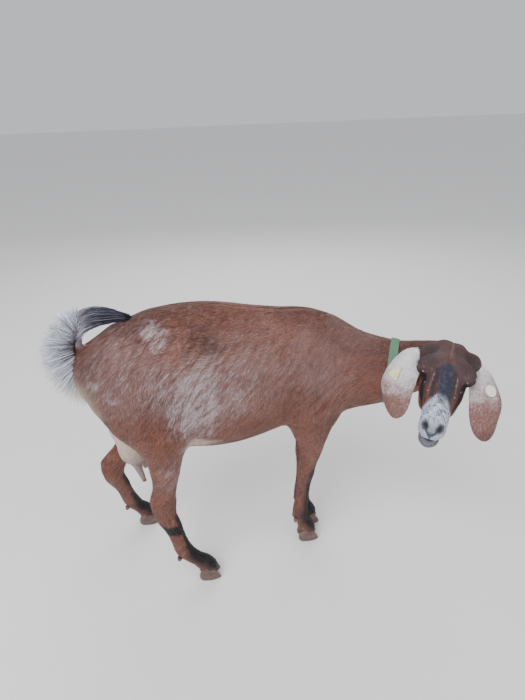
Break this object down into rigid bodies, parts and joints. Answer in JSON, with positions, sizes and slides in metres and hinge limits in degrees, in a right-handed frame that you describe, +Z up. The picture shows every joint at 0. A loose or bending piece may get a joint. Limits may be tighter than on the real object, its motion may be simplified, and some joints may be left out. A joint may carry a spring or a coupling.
{
  "type": "nubian goat",
  "caption": "Life-size still model of a standing bay Nubian doe with long hanging ears, roman nose, raised tail, collar and ear tags, head turned to her right.",
  "frame": {"origin": "middle of the outer box in plan, on the floor under the hooves", "axes": "+X from tail to chest along the body, +Z up, +Y to the goat's left"},
  "size_m": [1.0544, 0.5698, 0.8204],
  "materials": {
    "coat": "short glossy reddish-brown hair with white flecks",
    "ear_coat": "short frosted white hair turning reddish brown towards the tip",
    "tail_hair": "long slate and white hair",
    "udder_skin": "soft pale skin with fine down",
    "eye": "wet gloss",
    "horn": "dull ridged horn",
    "collar_webbing": "worn woven strap",
    "steel": "dull plated wire",
    "tag_yellow": "faded moulded plastic",
    "tag_white": "moulded plastic"
  },
  "bodies": {
    "root": {"torso": "coat", "neck": "coat", "head": "coat", "foreleg_right": "coat", "foreleg_left": "coat", "hindleg_right": "coat", "hindleg_left": "coat", "ear_right": "ear_coat", "ear_left": "ear_coat", "tail_dock": "tail_hair", "tail_plume": "tail_hair", "udder": "udder_skin", "eye_right": "eye", "eye_left": "eye", "claw_fore_right_outer": "horn", "claw_fore_right_inner": "horn", "claw_fore_left_outer": "horn", "claw_fore_left_inner": "horn", "claw_hind_right_outer": "horn", "claw_hind_right_inner": "horn", "claw_hind_left_outer": "horn", "claw_hind_left_inner": "horn", "dewclaw_fore_right_outer": "horn", "dewclaw_fore_right_inner": "horn", "dewclaw_fore_left_outer": "horn", "dewclaw_fore_left_inner": "horn", "dewclaw_hind_right_outer": "horn", "dewclaw_hind_right_inner": "horn", "dewclaw_hind_left_outer": "horn", "dewclaw_hind_left_inner": "horn", "collar": "collar_webbing", "collar_ring": "steel", "ear_tag_right": "tag_yellow", "ear_tag_left": "tag_white"}
  },
  "joints": []
}
